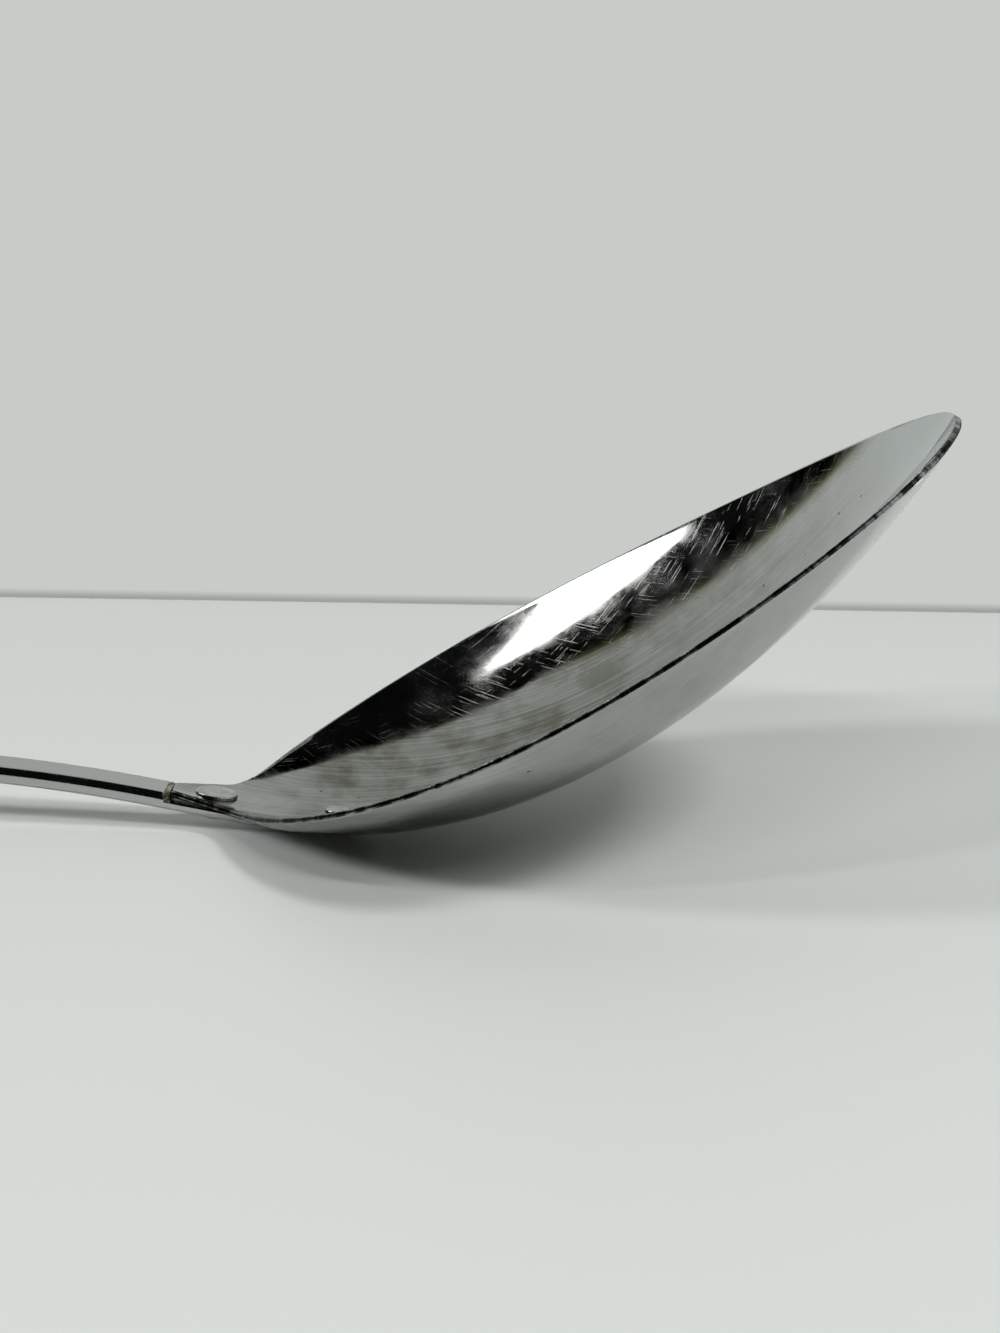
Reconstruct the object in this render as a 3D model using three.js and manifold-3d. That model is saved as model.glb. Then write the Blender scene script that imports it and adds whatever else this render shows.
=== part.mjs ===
// A riveted serving spoon in plated steel, lying on a table at Z = 0.
// Millimetres, +Z up, with the bowl towards +X. The side view is drawn first, with X = 0 at
// the bowl's heel, and the finished spoon is then centred on X.

import * as THREE from 'three';
import { mergeVertices } from 'three/addons/utils/BufferGeometryUtils.js';
import Module from 'manifold-3d';

const wasm = await Module();
wasm.setup();

const DEGREE = Math.PI / 180;

// Clearance between pieces that meet.
const FIT_GAP = 0.3;

// Bowl: one pressed sheet with an egg-shaped rim.
const SHEET = 0.75;
const BOWL_LENGTH = 89.4;
const BOWL_WIDTH = 60;
const BOWL_TILT = 29.6 * DEGREE;
const RIM_SAG = 2.3;
const EGG_LEAN = 0.14;
const EGG_PINCH = 0.15;
const EGG_SKEW = 0.19;
const SECTION_POWER = 2.2;

// Bowl floor: how it leaves the heel and how it reaches the tip.
const FLOOR_DROP = 0.55;
const FLOOR_SLOPE = 10 * DEGREE;
const FLOOR_REACH = 41;
const TIP_ANGLE = 29 * DEGREE;
const TIP_REACH = 14.3;

// Tab behind the heel, which the handle is riveted to.
const TAB_LENGTH = 7.5;
const TAB_END_WIDTH = 2.4;
const TAB_HEEL_WIDTH = 8.2;
const TAB_END_DISH = 0.15;
const TAB_HEEL_DISH = 0.65;
const TAB_SECTION_POWER = 6;
const HEEL_FILLET = 4;
const EDGE_FILLET = 1;
const HEEL_BLEND = 10;

// Handle: a half-oval bar that arches back to a flat rounded end.
const HANDLE_LENGTH = 145;
const HANDLE_WIDTH = 4.8;
const HANDLE_THICKNESS = 2.45;
const SIDE_HEIGHT = 0.7;
const TOP_POWER = 8;
const BAR_POWER = 2;
const ARCH_REACH_NECK = 50;
const ARCH_REACH_END = 45;
const PADDLE_START = 25;
const PADDLE_WIDTH = 20;
const PADDLE_THICKNESS = 1.9;
const PADDLE_SIDE_HEIGHT = 0.8;
const PADDLE_POWER = 5;
const PADDLE_ROUND = 9;
const REST_LENGTH = 14;

// Tongue: the lower part of the bar, which runs on under the tab and the heel.
const TONGUE_REACH = 15;
const TONGUE_TAPER = 5;
const TONGUE_TIP_LIFT = 0.5;
const TONGUE_ROUND = 2.4;

// Depth ground off the tongue and the handle's end where the spoon rests.
const REST_GRIND = 0.12;

// Rivets: button heads inside, countersunk tails in the tongue.
const FRONT_RIVET_BEHIND_HEEL = 2.7;
const FRONT_HEAD_DIAMETER = 4.8;
const FRONT_SHANK_DIAMETER = 2;
const REAR_RIVET_AHEAD_OF_HEEL = 10.9;
const REAR_HEAD_DIAMETER = 3.2;
const REAR_SHANK_DIAMETER = 1.4;
const HEAD_HEIGHT = 0.6;
const HEAD_ROUND = 0.3;
const TAIL_FLARE = 0.4;
const TAIL_INSET = 0.25;

// Filler metal between the handle's shoulder and the end of the tab.
const SEAM_LENGTH = 0.6;
const SEAM_WIDTH = 4;
const SEAM_DISH = 0.12;

// Mesh fineness.
const BOWL_STATIONS = 36;
const TAB_STATIONS = 6;
const BOWL_STRIPS = 22;
const TIP_SWEEP = 177 * DEGREE;
const BAR_STATIONS = 44;
const BAR_END_STATIONS = 5;
const BAR_END_SWEEP = 80 * DEGREE;
const BAR_SIDES = 24;
const NOTCH_STEPS = 24;
const RIVET_SEGMENTS = 24;
const ROUND_STEPS = 6;

// Cutters reach this far past what they cut.
const CUT_MARGIN = 5;

// Fineness of the calculations.
const WELD_DISTANCE = 1e-5;
const ROUNDING = 1e6;
const BISECTIONS = 40;
const FLOOR_SAMPLES = 200;
const SLOPE_REACH = 0.05;

const steel = (color, roughness) => new THREE.MeshStandardMaterial({ color, roughness, metalness: 1 });

function solidFrom(geometry) {
  const bare = geometry.clone();
  bare.deleteAttribute('normal');
  bare.deleteAttribute('uv');
  const merged = mergeVertices(bare, WELD_DISTANCE);
  const vertProperties = Float32Array.from(merged.getAttribute('position').array);
  const triVerts = Uint32Array.from(merged.getIndex().array);
  return new wasm.Manifold(new wasm.Mesh({ numProp: 3, vertProperties, triVerts }));
}

function geometryFrom(solid) {
  const { numProp, vertProperties, triVerts } = solid.getMesh();
  const geometry = new THREE.BufferGeometry();
  const vertices = new THREE.InterleavedBuffer(vertProperties, numProp);
  geometry.setAttribute('position', new THREE.InterleavedBufferAttribute(vertices, 3, 0));
  geometry.setIndex(new THREE.BufferAttribute(triVerts, 1));
  geometry.computeVertexNormals();
  return geometry;
}

function namedMesh(name, geometry, material) {
  const mesh = new THREE.Mesh(geometry, material);
  mesh.name = name;
  return mesh;
}

const direction = (angle) => new THREE.Vector2(Math.cos(angle), Math.sin(angle));
const rounded = (value) => Math.round(value * ROUNDING) / ROUNDING;
const blend = (from, to, amount) => from + (to - from) * THREE.MathUtils.smoothstep(amount, 0, 1);

// Finds the curve's parameter where a steadily rising measure of its points reaches a value.
function parameterWhere(curve, measure, value) {
  let low = 0;
  let high = 1;
  for (let step = 0; step < BISECTIONS; step += 1) {
    const middle = (low + high) / 2;
    if (measure(curve.getPoint(middle)) < value) {
      low = middle;
    } else {
      high = middle;
    }
  }
  return (low + high) / 2;
}

// Side view of the bowl floor, as X and Z, for a rim heel at the given height.
function floorCurve(heelHeight) {
  const start = new THREE.Vector2(0, heelHeight - FLOOR_DROP);
  const tip = direction(BOWL_TILT).multiplyScalar(BOWL_LENGTH).add(new THREE.Vector2(0, heelHeight));
  const leave = direction(-FLOOR_SLOPE).multiplyScalar(FLOOR_REACH).add(start);
  const arrive = direction(BOWL_TILT + TIP_ANGLE).multiplyScalar(-TIP_REACH).add(tip);
  return new THREE.CubicBezierCurve(start, leave, arrive, tip);
}

// The bar under the heel touches the table, which fixes the heel's height above it.
function restingHeelHeight() {
  const lowest = Math.min(...floorCurve(0).getPoints(FLOOR_SAMPLES).map((point) => point.y));
  return HANDLE_THICKNESS - REST_GRIND - lowest;
}

const heelHeight = restingHeelHeight();
const bowlFloor = floorCurve(heelHeight);
const shoulderX = -TAB_LENGTH - SEAM_LENGTH - 2 * FIT_GAP;

// Height of the bowl's upper face on the centreline: a straight tab, then the floor.
function floorHeight(x) {
  if (x <= 0) {
    return bowlFloor.v0.y - x * Math.tan(FLOOR_SLOPE);
  }
  return bowlFloor.getPoint(parameterWhere(bowlFloor, (point) => point.x, x)).y;
}

function floorAngle(x) {
  const rise = floorHeight(x + SLOPE_REACH) - floorHeight(x - SLOPE_REACH);
  return Math.atan2(rise, 2 * SLOPE_REACH);
}

// Larger of two sizes, with a rounded change-over.
function filletedLarger(first, second, fillet) {
  const closeness = Math.max(fillet - Math.abs(first - second), 0) / fillet;
  return Math.max(first, second) + (closeness * closeness * fillet) / 4;
}

// Height of the tab's turned-up edge, carried on in a straight line past the heel.
function tabEdgeHeight(x) {
  const dish = THREE.MathUtils.lerp(TAB_HEEL_DISH, TAB_END_DISH, -x / TAB_LENGTH);
  return bowlFloor.v0.y - x * Math.tan(FLOOR_SLOPE) + dish;
}

// A station is a cross-section of the sheet: its centre and edge in side view, its half width,
// and the power of the curve between them.
function tabStation(share) {
  const x = -TAB_LENGTH * (1 - share);
  const centre = new THREE.Vector2(x, floorHeight(x));
  const edge = new THREE.Vector2(x, tabEdgeHeight(x));
  const half = THREE.MathUtils.lerp(TAB_END_WIDTH, TAB_HEEL_WIDTH, share) / 2;
  return { centre, edge, half, power: TAB_SECTION_POWER };
}

// The angle sweeps the egg-shaped rim from the heel, at 0, to the tip, at 180 degrees.
function bowlStation(angle) {
  const along = (BOWL_LENGTH / 2) * (1 - Math.cos(angle));
  const share = along / BOWL_LENGTH;
  const chord = direction(BOWL_TILT);
  const across = direction(BOWL_TILT + 90 * DEGREE);
  const heel = new THREE.Vector2(0, heelHeight);
  const sag = 4 * RIM_SAG * share * (1 - share);
  const edge = heel.clone().addScaledVector(chord, along).addScaledVector(across, -sag);
  edge.y = filletedLarger(edge.y, tabEdgeHeight(edge.x), EDGE_FILLET);
  const measure = (point) => point.clone().sub(heel).dot(chord);
  const centre = bowlFloor.getPoint(parameterWhere(bowlFloor, measure, along));
  const swing = Math.cos(angle);
  const fullness = 1 + EGG_LEAN * swing - EGG_PINCH * swing ** 2 - EGG_SKEW * swing ** 3;
  const egg = (BOWL_WIDTH / 2) * Math.sin(angle) * fullness;
  const tab = TAB_HEEL_WIDTH / 2;
  const half = share < 0.5 ? filletedLarger(egg, tab, Math.min(HEEL_FILLET, tab)) : egg;
  const power = blend(TAB_SECTION_POWER, SECTION_POWER, along / HEEL_BLEND);
  return { centre, edge, half, power };
}

function sheetStations() {
  const stations = [];
  for (let step = 0; step <= TAB_STATIONS; step += 1) {
    stations.push(tabStation(step / TAB_STATIONS));
  }
  for (let step = 1; step <= BOWL_STATIONS; step += 1) {
    stations.push(bowlStation((TIP_SWEEP * step) / BOWL_STATIONS));
  }
  return stations;
}

// Upper face of the sheet as a pressed grid, with its normals.
function pressedFace(stations) {
  const face = new THREE.PlaneGeometry(1, 1, stations.length - 1, BOWL_STRIPS);
  const position = face.getAttribute('position');
  for (let index = 0; index < position.count; index += 1) {
    const station = stations[Math.round((position.getX(index) + 0.5) * (stations.length - 1))];
    const across = position.getY(index) * 2;
    const side = station.centre.clone().lerp(station.edge, Math.abs(across) ** station.power);
    position.setXYZ(index, side.x, across * station.half, side.y);
  }
  face.computeVertexNormals();
  return face;
}

// A flat blank whose two faces follow the pressed face, one sheet apart.
function bowlBlank() {
  const stations = sheetStations();
  const columns = stations.length - 1;
  const face = pressedFace(stations);
  const upper = face.getAttribute('position');
  const normal = face.getAttribute('normal');
  const blank = new THREE.BoxGeometry(1, 1, 1, columns, BOWL_STRIPS, 1);
  const position = blank.getAttribute('position');
  const point = new THREE.Vector3();
  const down = new THREE.Vector3();
  for (let index = 0; index < position.count; index += 1) {
    const column = Math.round((position.getX(index) + 0.5) * columns);
    const row = Math.round((0.5 - position.getY(index)) * BOWL_STRIPS);
    const source = row * (columns + 1) + column;
    point.fromBufferAttribute(upper, source);
    if (position.getZ(index) < 0) {
      down.fromBufferAttribute(normal, source);
      point.addScaledVector(down, -SHEET);
    }
    position.setXYZ(index, point.x, point.y, point.z);
  }
  return blank;
}

// Side view of the handle's upper edge, from its flat end stretch to the shoulder.
function archCurve() {
  const shoulder = new THREE.Vector2(shoulderX, floorHeight(shoulderX));
  const endTop = PADDLE_THICKNESS - REST_GRIND;
  const foot = new THREE.Vector2(shoulderX - HANDLE_LENGTH + REST_LENGTH, endTop);
  const leave = direction(180 * DEGREE - FLOOR_SLOPE).multiplyScalar(ARCH_REACH_NECK).add(shoulder);
  const arrive = new THREE.Vector2(foot.x + ARCH_REACH_END, endTop);
  return new THREE.CubicBezierCurve(foot, arrive, leave, shoulder);
}

const arch = archCurve();

function barTop(x) {
  if (x <= arch.v0.x) {
    return arch.v0.y;
  }
  if (x < shoulderX) {
    return arch.getPoint(parameterWhere(arch, (point) => point.x, x)).y;
  }
  return floorHeight(x);
}

// Cross-section of the bar at X: the widest line lies a side height below the top.
function barStation(x, roundness) {
  const widening = (shoulderX - PADDLE_START - x) / (HANDLE_LENGTH - PADDLE_START - REST_LENGTH);
  const taper = (x - TONGUE_REACH + TONGUE_TAPER) / TONGUE_TAPER;
  const half = blend(HANDLE_WIDTH, PADDLE_WIDTH, widening) / 2;
  const thickness = blend(HANDLE_THICKNESS, PADDLE_THICKNESS, widening);
  return {
    x,
    top: barTop(x),
    half: half * roundness,
    side: blend(SIDE_HEIGHT, PADDLE_SIDE_HEIGHT, widening),
    thickness: thickness - blend(0, TONGUE_TIP_LIFT, taper),
    lowerPower: blend(BAR_POWER, PADDLE_POWER, widening),
  };
}

function barStations() {
  const stations = [];
  const endX = shoulderX - HANDLE_LENGTH;
  const roundEnd = (outerX, reach, step) => {
    const swing = (BAR_END_SWEEP * step) / BAR_END_STATIONS;
    return barStation(outerX + reach * (1 - Math.sin(swing)), Math.cos(swing));
  };
  for (let step = BAR_END_STATIONS; step > 0; step -= 1) {
    stations.push(roundEnd(endX, PADDLE_ROUND, step));
  }
  const from = endX + PADDLE_ROUND;
  const to = TONGUE_REACH - TONGUE_ROUND;
  for (let step = 0; step <= BAR_STATIONS; step += 1) {
    stations.push(barStation(from + ((to - from) * step) / BAR_STATIONS, 1));
  }
  for (let step = 1; step <= BAR_END_STATIONS; step += 1) {
    stations.push(roundEnd(TONGUE_REACH, -TONGUE_ROUND, step));
  }
  return stations;
}

// A round blank whose rings are drawn out to the bar's cross-sections.
function barBlank() {
  const stations = barStations();
  const rings = stations.length - 1;
  const blank = new THREE.CylinderGeometry(1, 1, 1, BAR_SIDES, rings);
  const position = blank.getAttribute('position');
  for (let index = 0; index < position.count; index += 1) {
    const station = stations[Math.round((0.5 - position.getY(index)) * rings)];
    const across = rounded(position.getX(index));
    const up = rounded(position.getZ(index));
    const power = 2 / (up > 0 ? TOP_POWER : station.lowerPower);
    const height = up > 0 ? station.side : station.thickness - station.side;
    const y = Math.sign(across) * Math.abs(across) ** power * station.half;
    const z = Math.sign(up) * Math.abs(up) ** power * height;
    position.setXYZ(index, station.x, y, station.top - station.side + z);
  }
  return blank;
}

// Side-view point at a height above the sheet's upper face, square to it.
function aboveFloor(x, height) {
  const foot = new THREE.Vector2(x, floorHeight(x));
  return foot.addScaledVector(direction(floorAngle(x) + 90 * DEGREE), height);
}

// Everything above the tongue ahead of the shoulder, which makes room for the tab and the heel.
function notchCutter() {
  const endX = TONGUE_REACH + CUT_MARGIN;
  const points = [aboveFloor(endX, CUT_MARGIN), aboveFloor(shoulderX, CUT_MARGIN)];
  for (let step = 0; step <= NOTCH_STEPS; step += 1) {
    const x = shoulderX + ((endX - shoulderX) * step) / NOTCH_STEPS;
    points.push(aboveFloor(x, -SHEET - FIT_GAP));
  }
  const outline = new THREE.Shape(points);
  const width = HANDLE_WIDTH + 2 * CUT_MARGIN;
  const cutter = new THREE.ExtrudeGeometry(outline, { depth: width, bevelEnabled: false });
  return cutter.rotateX(90 * DEGREE).translate(0, width / 2, 0);
}

// Everything below the table.
function tableCutter() {
  const length = HANDLE_LENGTH + BOWL_LENGTH;
  const cutter = new THREE.BoxGeometry(2 * length, PADDLE_WIDTH + 2 * CUT_MARGIN, CUT_MARGIN);
  return cutter.translate(0, 0, -CUT_MARGIN / 2);
}

const rivets = [
  {
    name: 'rivet_front',
    x: -FRONT_RIVET_BEHIND_HEEL,
    head: FRONT_HEAD_DIAMETER / 2,
    shank: FRONT_SHANK_DIAMETER / 2,
  },
  {
    name: 'rivet_rear',
    x: REAR_RIVET_AHEAD_OF_HEEL,
    head: REAR_HEAD_DIAMETER / 2,
    shank: REAR_SHANK_DIAMETER / 2,
  },
];

// Turns a profile of radius and height about an upright axis.
function turned(profile) {
  return new THREE.LatheGeometry(profile.getPoints(ROUND_STEPS), RIVET_SEGMENTS).rotateX(90 * DEGREE);
}

// Heights are from the sheet's upper face, and the head sits a clearance above it.
function rivetBody({ head, shank }) {
  const tailEnd = TAIL_INSET - HANDLE_THICKNESS;
  const headTop = FIT_GAP + HEAD_HEIGHT;
  const profile = new THREE.Path();
  profile.moveTo(0, tailEnd);
  profile.lineTo(shank + TAIL_FLARE, tailEnd);
  profile.lineTo(shank, tailEnd + TAIL_FLARE);
  profile.lineTo(shank, FIT_GAP);
  profile.lineTo(head, FIT_GAP);
  profile.lineTo(head, headTop - HEAD_ROUND);
  profile.quadraticCurveTo(head, headTop, head - HEAD_ROUND, headTop);
  profile.lineTo(0, headTop);
  return turned(profile);
}

// The rivet's hole, a clearance larger all round and open at both ends.
function rivetHole({ shank }) {
  const tailEnd = TAIL_INSET - HANDLE_THICKNESS;
  const wide = shank + TAIL_FLARE + FIT_GAP;
  const narrow = shank + FIT_GAP;
  const profile = new THREE.Path();
  profile.moveTo(0, -HANDLE_THICKNESS - CUT_MARGIN);
  profile.lineTo(wide, -HANDLE_THICKNESS - CUT_MARGIN);
  profile.lineTo(wide, tailEnd);
  profile.lineTo(narrow, tailEnd + TAIL_FLARE);
  profile.lineTo(narrow, CUT_MARGIN);
  profile.lineTo(0, CUT_MARGIN);
  return turned(profile);
}

// Sets a piece on the sheet's centreline at X, square to it.
function seat(object, x) {
  object.position.set(x, 0, floorHeight(x));
  object.rotation.y = -floorAngle(x);
  object.updateMatrix();
  return object;
}

function cutRivetHoles(solid) {
  const cut = (rest, rivet) => {
    const place = seat(new THREE.Object3D(), rivet.x);
    return rest.subtract(solidFrom(rivetHole(rivet).applyMatrix4(place.matrix)));
  };
  return rivets.reduce(cut, solid);
}

function bowl() {
  const pressed = cutRivetHoles(solidFrom(bowlBlank()));
  return namedMesh('bowl', geometryFrom(pressed), steel(0xb7bbb6, 0.12));
}

function handle() {
  const bar = solidFrom(barBlank());
  const notched = bar.subtract(solidFrom(notchCutter()));
  const ground = notched.subtract(solidFrom(tableCutter()));
  return namedMesh('handle', geometryFrom(cutRivetHoles(ground)), steel(0xa7aca8, 0.15));
}

function rivetMesh(rivet) {
  return seat(namedMesh(rivet.name, rivetBody(rivet), steel(0xadb0aa, 0.2)), rivet.x);
}

// A bead with a dished top that stands on the tongue, clear of the shoulder and the tab.
function brazeSeam() {
  const half = SEAM_LENGTH / 2;
  const outline = new THREE.Shape();
  outline.moveTo(-half, -SHEET);
  outline.lineTo(half, -SHEET);
  outline.lineTo(half, 0);
  outline.quadraticCurveTo(0, -2 * SEAM_DISH, -half, 0);
  const options = { depth: SEAM_WIDTH, bevelEnabled: false, curveSegments: ROUND_STEPS };
  const bead = new THREE.ExtrudeGeometry(outline, options);
  bead.rotateX(90 * DEGREE).translate(0, SEAM_WIDTH / 2, 0);
  const filler = new THREE.MeshStandardMaterial({ color: 0x8f927c, roughness: 0.6, metalness: 0.6 });
  return seat(namedMesh('braze_seam', bead, filler), -TAB_LENGTH - FIT_GAP - half);
}

function centredOnX(object) {
  const box = new THREE.Box3().setFromObject(object);
  object.position.x = -(box.min.x + box.max.x) / 2;
  return new THREE.Group().add(object);
}

const spoon = new THREE.Group();
spoon.add(bowl(), handle(), brazeSeam());
spoon.add(...rivets.map(rivetMesh));

export default centredOnX(spoon);
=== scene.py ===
"""Looks for a riveted serving spoon in bright plated steel, lying on a pale table."""

import math

import bmesh
import bpy
from mathutils import Matrix, Vector, noise


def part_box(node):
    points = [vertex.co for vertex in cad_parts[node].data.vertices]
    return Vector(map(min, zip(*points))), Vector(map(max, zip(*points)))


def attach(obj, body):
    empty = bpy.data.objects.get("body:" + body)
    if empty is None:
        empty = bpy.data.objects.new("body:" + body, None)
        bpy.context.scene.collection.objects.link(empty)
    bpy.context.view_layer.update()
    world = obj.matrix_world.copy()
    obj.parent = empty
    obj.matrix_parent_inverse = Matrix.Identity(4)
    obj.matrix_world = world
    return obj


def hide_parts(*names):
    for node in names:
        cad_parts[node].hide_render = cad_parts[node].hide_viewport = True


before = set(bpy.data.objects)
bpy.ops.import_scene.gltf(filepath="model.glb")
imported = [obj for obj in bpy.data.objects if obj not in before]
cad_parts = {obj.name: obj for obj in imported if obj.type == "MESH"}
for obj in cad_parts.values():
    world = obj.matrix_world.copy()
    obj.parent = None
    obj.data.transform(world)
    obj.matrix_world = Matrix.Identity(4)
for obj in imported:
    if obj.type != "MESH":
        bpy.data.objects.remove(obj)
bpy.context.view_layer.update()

# Sizes are in millimetres. The side view is drawn with X = 0 at the bowl's heel.
MM = 0.001
DEGREE = math.pi / 180

# Bowl: one pressed sheet with an egg-shaped rim.
SHEET = 0.75
BOWL_LENGTH = 89.4
BOWL_WIDTH = 60
BOWL_TILT = 29.6 * DEGREE
RIM_SAG = 2.3
EGG_LEAN = 0.14
EGG_PINCH = 0.15
EGG_SKEW = 0.19
SECTION_POWER = 2.2
RIM_ROUND = 0.3
RIM_CORNER = 45 * DEGREE

# Bowl floor: how it leaves the heel and how it reaches the tip.
FLOOR_DROP = 0.55
FLOOR_SLOPE = 10 * DEGREE
FLOOR_REACH = 41
TIP_ANGLE = 29 * DEGREE
TIP_REACH = 14.3

# Tab behind the heel, which the handle is riveted to.
TAB_LENGTH = 7.5
TAB_END_WIDTH = 2.4
TAB_HEEL_WIDTH = 8.2
TAB_END_DISH = 0.15
TAB_HEEL_DISH = 0.35
TAB_SECTION_POWER = 3
EDGE_FILLET = 1
HEEL_BACK = 2
HEEL_FRONT = 4
HEEL_PULL = 0.4
HEEL_BLEND = 10

# Handle: a half-oval bar that arches back to a flat rounded end.
SHOULDER_GAP = 1.2
SHOULDER_ROUND = 0.3
SEAM_WIDTH = 0.65
HANDLE_LENGTH = 145
HANDLE_WIDTH = 4.8
HANDLE_THICKNESS = 2.45
SIDE_HEIGHT = 0.92
BAR_POWER = 2
ARCH_REACH_NECK = 50
ARCH_REACH_END = 45
PADDLE_START = 25
PADDLE_WIDTH = 20
PADDLE_THICKNESS = 1.9
PADDLE_SIDE_HEIGHT = 0.8
PADDLE_POWER = 5
PADDLE_ROUND = 9
REST_LENGTH = 14
REST_GRIND = 0.12
CAD_END_SWEEP = 80 * DEGREE

# Tongue: the lower part of the bar, which runs on under the tab and the heel.
TONGUE_REACH = 15
TONGUE_TAPER = 5
TONGUE_TIP_LIFT = 0.5
TONGUE_ROUND = 2.4
TONGUE_CLEARANCE = 0.3

# Rivets: button heads inside, countersunk tails in the tongue.
FRONT_RIVET_X = -2.7
FRONT_HEAD = 2.4
FRONT_SHANK = 1
REAR_RIVET_X = 10.9
REAR_HEAD = 1.4
REAR_SHANK = 0.7
FRONT_HEAD_HEIGHT = 0.32
REAR_HEAD_HEIGHT = 0.24
HEAD_ROUND = 0.22
HEAD_CROWN = 0.03
FRONT_HEAD_LEAN = -2.5 * DEGREE
REAR_HEAD_LEAN = 4 * DEGREE
FRONT_HEAD_OVAL = 0.78
FRONT_HEAD_SHIFT = 0.5
TAIL_FLARE = 0.4
TAIL_INSET = 0.2

# Filler: a bead in the gap and two drops that ran out at its near foot.
BEAD_LENGTH = 0.62
BEAD_WIDTH = 4.0
BEAD_TOP = -0.12
BEAD_DEPTH = 0.95
BEAD_LUMP = 0.12
BEAD_SHIFT = -0.05
BEAD_SMOOTHING = 0.5
LUMPS_PER_MM = 2.2
DROP_STRETCH = 1.3
# Each drop is its centre, as X, Y and Z, and its radius.
DROPS = ((-0.2, -2.0, -0.95, 0.32), (0.3, -1.85, -1.05, 0.27))

# Mesh fineness.
TAB_COLUMNS = 24
BOWL_COLUMNS = 220
BOWL_STRIPS = 96
RIM_STEPS = 6
TIP_SWEEP = 178.5 * DEGREE
HEEL_SPREAD = 0.75
BAR_RINGS = 240
BAR_END_RINGS = 14
BAR_END_SWEEP = 86 * DEGREE
CORNER_STEPS = 14
TOP_STEPS = 12
UNDER_STEPS = 48
SHOULDER_RINGS = 5
TONGUE_RINGS = 60
RIVET_STEPS = 72
ROUND_STEPS = 6
BEAD_CUTS = 9
DROP_FINENESS = 3
BISECTIONS = 40
FLOOR_SAMPLES = 400
SLOPE_STEP = 0.05
RIM_FIRST_STEP = 0.1
RIM_STEP_BACK = 0.98
MERGE_DISTANCE = 1e-4

# Marks in the plate, as length and width. Real ones are finer: these are as coarse as they need to show.
POLISH_MARKS = (18, 0.45)
BRUSH_MARKS = (9, 0.14)
BRUSH_TURN = 4 * DEGREE
RISING_SCRATCHES = (7, 0.09)
RISING_TURN = 38 * DEGREE
FALLING_SCRATCHES = (6, 0.09)
FALLING_TURN = -29 * DEGREE
SMUDGE = 6
BLOTCH = 5
PIT_SPACING = 4.5
PLATE_RELIEF = 0.0022
PLATE_ROUGHNESS = 0.025

# Film on the plate: its share along the bowl from heel to tip, full on the floor and thinner up the sides.
WEAR_STOPS = ((0.03, "#BEBEBE"), (0.12, "#EAEAEA"), (0.42, "#F4F4F4"),
              (0.62, "#D2D2D2"), (0.8, "#8C8C8C"), (0.9, "#000000"))
BOWL_WEAR = (-1, 96)
HANDLE_WEAR = (-116, 60)
FILM_LEAST = 0.62
FILM_FLOOR = 12
FILM_SIDE = 24
FILM_SIDE_SHARE = 0.55

# Cut edge of the sheet: a sheared line with a painted dark reflection on it, which is broken in spots and is
# wider at the tip.
EDGE_START = 0.85
EDGE_FULL = 0.98
TIP_EDGE_START = 0.5
TIP_EDGE_REACH = (80, 88)
PAINTED_DARK_BREAK = 2.5
SHEARED_GRAIN = 0.5

# Rivet steel and filler.
FILE_MARKS = (3, 0.09)
FILE_TURN = 35 * DEGREE
FILE_RELIEF = 0.006
RIVET_ROUGHNESS = 0.12
DULL_SPOT = 1.2
TARNISH_SPOT = 0.8
FILLER_GRAIN = 0.18
FILLER_RELIEF = 0.03

# Camera: the photograph's place and lens, for a picture of 1000 by 1333.
PICTURE_HEIGHT = 1333
FOCAL_PIXELS = 4000
SENSOR = 36
NEAREST, FARTHEST = 10, 20000
CAMERA_FROM_HEEL = Vector((75.996, -411.556, 151.979))
CAMERA_PITCH = 17.743 * DEGREE
CAMERA_YAW = -6.491 * DEGREE
CAMERA_ROLL = -0.655 * DEGREE

# Stage: a pale table, a pale board close behind, a wall far behind and soft panels to the sides.
BOARD_Y = 85.6
BOARD_SLANT = 0.0188
BOARD_HALF_WIDTH = 900
BOARD_HEIGHT = 700
BOARD_BOUNCE = 0.66
BOARD_FOOT = (0.3, 1.3)
TABLE_HALF_WIDTH = 1500
TABLE_LIT = 300
TABLE_FAR = 900
WALL_Y = 800
WALL_LEFT, WALL_RIGHT, WALL_TOP = -2200, 1000, 2300
WALL_GLOW = 0.95
# Each soft edge of the wall is the way across it, where it is dark and where it is pale.
WALL_EDGES = (
    ((1, 0, 0), -1460, -1040),
    ((1, 0, 0), 760, 640),
    ((0, 0, 1), 1960, 1760),
    ((0.5, 0, 1), 1780, 1620),
)
# Tones from the dark room to the middle of the wall.
WALL_TONES = ((0, "#000000"), (0.4, "#57553F"), (0.75, "#B6B5A8"), (1, "#D1D6D3"))
# The foot of the wall has this share of the glow, up to the first height. It is full from the second.
WALL_FOOT = 0.92
WALL_SHADED = 100
WALL_LIT = 900
# Each softbox is its glow and its corners, measured from the heel.
SOFTBOXES = {
    "left_softbox": (6, ((-73, 65, 265), (-281, 83, 265), (-281, 10, 265), (-140, 10, 265))),
    "right_softbox": (6, ((208, -30, 265), (230, -30, 265), (230, 0, 265), (208, 0, 265))),
    "front_softbox": (0.5, ((110, -700, 265), (700, -700, 265), (700, -60, 265), (110, -60, 265))),
    "right_wall": (0.45, ((900, -300, 0), (900, 800, 0), (900, 800, 700), (900, -300, 700))),
    "right_ceiling": (0.4, ((260, -1000, 1000), (1500, -1000, 1000), (1500, 250, 1000), (260, 250, 1000))),
}
# Each lamp is its centre, measured from the heel, its size along Y and across, and its radiance.
LAMPS = {
    "left_front_lamp": ((-490, -560, 660), (50, 200), 35),
    "left_low_lamp": ((-700, -200, 400), (120, 150), 45),
    "right_front_lamp": ((240, -540, 660), (50, 550), 22),
    "right_lamp": ((490, -250, 660), (150, 150), 35),
}


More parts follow.
